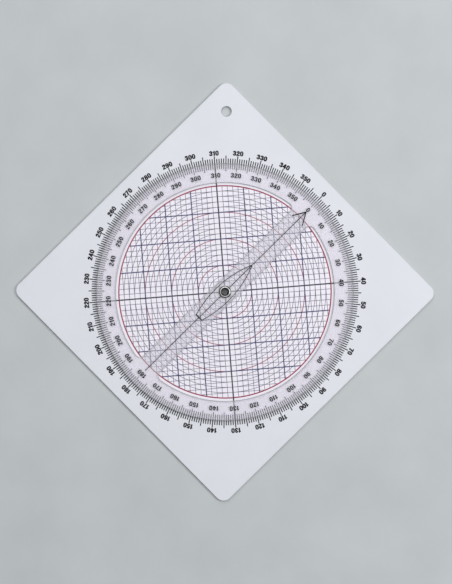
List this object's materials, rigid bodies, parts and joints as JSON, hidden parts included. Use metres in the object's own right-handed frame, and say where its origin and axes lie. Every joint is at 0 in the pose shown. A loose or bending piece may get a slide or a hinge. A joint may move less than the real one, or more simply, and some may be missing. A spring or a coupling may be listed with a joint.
{
  "type": "circular vector plotter",
  "caption": "Square plotting board with a degree scale, a turning grid disc and a see-through turning rotor with two D-shaped windows, all on one hollow eyelet.",
  "frame": {"origin": "on the eyelet's axis, in the plane of the board's back face", "axes": "+Z out of the printed face along the eyelet's axis, +Y towards 0 degrees on the board's scale, +X towards 90 degrees"},
  "size_m": [0.2286, 0.2286, 0.005],
  "materials": {
    "board_vinyl": "satin white vinyl",
    "grid_sheet": "satin white sheet",
    "rotor_sheet": "frosted see-through sheet",
    "black_ink": "screen-printed ink",
    "blue_ink": "screen-printed ink",
    "red_ink": "screen-printed ink",
    "eyelet_metal": "nickel-plated brass",
    "washer_metal": "stamped steel"
  },
  "bodies": {
    "board": {"board": "board_vinyl", "board_scale": "black_ink", "pivot_eyelet": "eyelet_metal", "pivot_washer": "washer_metal"},
    "grid_disc": {"grid_disc": "grid_sheet", "grid_axis_lines": "black_ink", "grid_main_lines": "blue_ink", "grid_rings": "red_ink"},
    "rotor": {"rotor": "rotor_sheet", "rotor_scale": "black_ink", "rotor_arrow": "black_ink", "rotor_boat": "black_ink"}
  },
  "joints": [
    {"name": "grid_turn", "type": "hinge", "parent": "board", "child": "grid_disc", "pos_m": [0, 0, 0.00215], "axis": [0, 0, -1], "continuous": true},
    {"name": "rotor_turn", "type": "hinge", "parent": "board", "child": "rotor", "pos_m": [0, 0, 0.0032], "axis": [0, 0, -1], "continuous": true}
  ]
}
